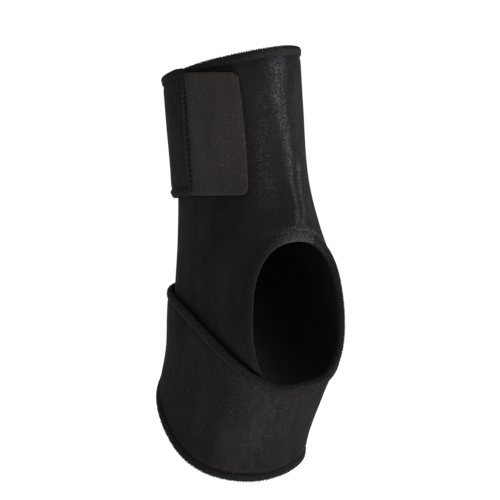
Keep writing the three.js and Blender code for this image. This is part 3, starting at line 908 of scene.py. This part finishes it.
def edge_loops(hem_name, spacing, long_from=0, long_to=0, proud=0.0):
    """Loops of thread round a hem's free edge, and long ones between two turns."""
    turn, along, lift_of, free, joined = hem_lines[hem_name]
    turn, along = even_path(turn, along, lift_of(turn), spacing, joined)
    spots, across, normal, ahead = path_frame(turn, along, lift_of(turn), joined)
    order = np.arange(len(turn))
    full = far_fullness(hem_name, turn) - 0.05 * (hem_name == "instep") * (turn > 190) * (turn < 350)
    full += 0.022 * np.sin(order * 2.4) + 0.018 * np.sin(order * 0.37 + 1)
    shift = 0.16 * np.sin(order * 1.9) + 0.14 * np.sin(order * 0.83)
    bare_ends = 0 if joined else 4
    loops = []
    for i in range(bare_ends, len(spots) - bare_ends):
        form = over_top + over_edge if long_from < turn[i] < long_to else over_edge
        side, height, lean = np.array(form).T[..., None]
        out = (side * full[i] + proud * (side > 2)) * free
        height = filled_out(height, full[i])
        loops.append(spots[i] + across[i] * out + ahead[i] * (lean + shift[i]) + normal[i] * height)
    return loops


def seam_stitches(hem_name):
    """Straight stitches in the dip where a hem is sewn down."""
    length, space = 2.3, 0.9
    turn, along, lift_of, free, joined = hem_lines[hem_name]
    turn, along = even_path(turn, along, lift_of(turn), (length + space) / 4, joined)
    spots, across, normal, ahead = path_frame(turn, along, lift_of(turn), joined)
    seam = spots - across * 2.75 * free + normal * 2.62
    sunk = np.array([[-0.25], [0.06], [0.08], [-0.22]])
    stitches = []
    for i in range(2, len(seam) - 4, 4):
        stitch = seam[i:i + 4] + normal[i:i + 4] * sunk
        stitch[-1] -= ahead[i + 3] * 0.2
        stitches.append(stitch)
    return stitches


def zigzag(turns_of, alongs, lift, width, pitch):
    """A zigzag of thread along a seam that runs up the brace."""
    count = int((alongs[1] - alongs[0]) / pitch * 2)
    along = np.linspace(*alongs, count * 2 + 1)
    swing = np.interp(np.arange(count * 2 + 1) % 4, [0, 1, 2, 3, 4], [0, 1, 0, -1, 0]) * width / 2
    turn = turns_of(along) + np.degrees(swing / strap_radius)
    return lay(turn, along, lift + 0.1 * np.cos(np.arange(len(turn)) * np.pi / 2)) * 1000


oversewn = edge_loops("toe", 1.6, proud=0.28)
oversewn += edge_loops("instep", 1.3, -12, 75)
oversewn += edge_loops("top", 1.4, proud=0.12)
# On the heel opening only the long loops on its far side show
oversewn += [loop for loop in edge_loops("heel", 1.3, 14, 42) if len(loop) > len(over_edge)]
thread_pieces("edge_overlock_thread", oversewn, 0.52, 4)
straight = [stitch for hem_name in hem_lines for stitch in seam_stitches(hem_name)]
thread_pieces("hem_stitch_thread", straight, 0.3)


def beside_tab(distance):
    """A line beside the tab's seam, which drifts a millimetre onto the strap toward the top."""
    def line(along):
        share = (along - strap_foot) / tab_height
        return tab_seam(along) + np.degrees((distance - share) / strap_radius)
    return line


def front_seam(along):
    return np.full(len(along), seam_turn + 0.3)


zigzag_foot, zigzag_top = strap_foot + 0.8, strap_foot + 61.0
brown_rows = [
    zigzag(beside_tab(-0.5), (zigzag_foot, zigzag_top - 0.4), layer + 2.55, 3.2, 1.5),
    zigzag(beside_tab(-0.5), (zigzag_foot + 0.75, zigzag_top), layer + 2.5, 3.2, 1.5),
]
black_rows = [
    zigzag(beside_tab(0.5), (zigzag_foot, zigzag_top), layer + 2.85, 3.4, 2.9),
    zigzag(front_seam, (strap_foot + 6.0, 118.0), layer + 2.75, 2.2, 2.0),
]
brown_zigzag = thread_pieces("tab_brown_thread", brown_rows, 0.58, thread=tape_thread)
black_zigzag = thread_pieces("tab_zigzag_thread", black_rows, 0.6)


# The studio
# A pale floor well below the held-up brace runs up into a pale wall all round. Soft boxes stand at the right,
# overhead and at the left, and a low one stands for the light that a white table throws back.
def pale_material():
    material, tree, shader = new_material("pale_backdrop")
    where = add_node(tree, "ShaderNodeTexCoord").outputs["Object"]
    cloud = add_node(tree, "ShaderNodeTexNoise", Vector=where, Scale=0.8, Detail=1.0).outputs["Fac"]
    tone = blend_colour(tree, cloud, (0.86, 0.86, 0.86, 1), (0.88, 0.88, 0.88, 1))
    finish_surface(tree, shader, tone, Roughness=0.9, Specular_IOR_Level=0.1,
                   Emission_Color=(1.0, 1.0, 1.0, 1), Emission_Strength=0.75)
    return material


def backdrop():
    floor_height, flat, bend, steps, wall_height = -0.16, 1.6, 1.6, 16, 1.9
    bpy.ops.mesh.primitive_circle_add(vertices=96, radius=flat, fill_type="NOTHING", location=(0, 0, 0))
    floor = bpy.context.object
    floor.name = "studio_floor"
    bpy.ops.object.mode_set(mode="EDIT")
    bpy.ops.mesh.select_mode(type="EDGE")
    bpy.ops.mesh.select_all(action="SELECT")
    reach, height = flat, 0.0
    for step in range(1, steps + 1):
        angle = math.pi / 2 * step / steps
        next_reach, next_height = flat + bend * math.sin(angle), bend * (1 - math.cos(angle))
        rise, grow = next_height - height, next_reach / reach
        bpy.ops.mesh.extrude_region_move(TRANSFORM_OT_translate={"value": (0, 0, rise)})
        bpy.ops.transform.resize(value=(grow, grow, 1), center_override=(0, 0, next_height))
        reach, height = next_reach, next_height
    bpy.ops.mesh.extrude_region_move(TRANSFORM_OT_translate={"value": (0, 0, wall_height)})
    bpy.ops.object.mode_set(mode="OBJECT")
    # The first ring, on the floor, is filled
    for edge in floor.data.edges:
        edge.select = all(abs(floor.data.vertices[end].co.z) < 1e-4 for end in edge.vertices)
    bpy.ops.object.mode_set(mode="EDIT")
    bpy.ops.mesh.edge_face_add()
    bpy.ops.mesh.select_all(action="SELECT")
    bpy.ops.mesh.normals_make_consistent(inside=True)
    bpy.ops.object.mode_set(mode="OBJECT")
    bpy.ops.object.shade_smooth_by_angle(angle=math.radians(30))
    floor.location.z = floor_height
    bpy.ops.object.transform_apply(location=True, rotation=False, scale=False)
    floor.data.materials.append(pale_material())
    # The brace sees only the lights and the even air, not the backdrop
    floor.visible_diffuse = False
    floor.visible_glossy = False
    floor.visible_shadow = False
    floor.select_set(False)


backdrop()
world = bpy.data.worlds.new("studio_air")
world.use_nodes = True
world.node_tree.nodes["Background"].inputs["Color"].default_value = (0.98, 0.98, 1.0, 1)
world.node_tree.nodes["Background"].inputs["Strength"].default_value = 0.32
bpy.context.scene.world = world
bpy.context.scene.view_settings.view_transform = "Standard"


def soft_box(name, azimuth, elevation, distance, size, power):
    """An area light that looks at the brace; azimuth 0 is behind the heel opening, 90 the far side."""
    a, e = math.radians(azimuth), math.radians(elevation)
    place = Vector((math.sin(a) * math.cos(e), -math.cos(a) * math.cos(e), math.sin(e))) * distance
    light = bpy.data.lights.new(name, "AREA")
    light.shape = "RECTANGLE"
    light.size, light.size_y = size
    light.energy = power
    lamp = bpy.data.objects.new(name, light)
    lamp.matrix_world = Matrix.Translation(place) @ place.to_track_quat("Z", "Y").to_matrix().to_4x4()
    lamp.visible_camera = False
    bpy.context.scene.collection.objects.link(lamp)


soft_box("right_soft_box", 62, 4, 1.3, (0.35, 1.1), 4.5)
soft_box("top_soft_box", 15, 64, 1.4, (0.7, 0.5), 4.5)
soft_box("low_soft_box", -18, -60, 1.4, (0.9, 0.6), 15.5)
soft_box("left_soft_box", -125, 10, 1.5, (0.4, 1.2), 1.3)


# The camera
# It looks at the heel opening from behind and the hook tab's side, level, and tipped a few degrees.
view_azimuth = math.radians(-35)
view_roll = math.radians(4.4)
pixels_per_metre = 1700.0
picture_width = 500
eye_distance = 1.0
back = Vector((math.sin(view_azimuth), -math.cos(view_azimuth), 0))
level_right = Vector((math.cos(view_azimuth), math.sin(view_azimuth), 0))
level_up = Vector((0, 0, 1))
right = level_right * math.cos(view_roll) - level_up * math.sin(view_roll)
up = level_right * math.sin(view_roll) + level_up * math.cos(view_roll)
# The brace's origin shows 0.6 pixels left of the picture's middle and 33 below it
eye = back * eye_distance + right * (0.6 / pixels_per_metre) + up * (33 / pixels_per_metre)
camera_data = bpy.data.cameras.new("camera")
camera_data.sensor_width = 36.0
camera_data.lens = camera_data.sensor_width * pixels_per_metre * eye_distance / picture_width
camera_data.clip_start = 0.01
camera = bpy.data.objects.new("camera", camera_data)
camera.matrix_world = Matrix.Translation(eye) @ Matrix((right, up, back)).transposed().to_4x4()
bpy.context.scene.collection.objects.link(camera)
bpy.context.scene.camera = camera
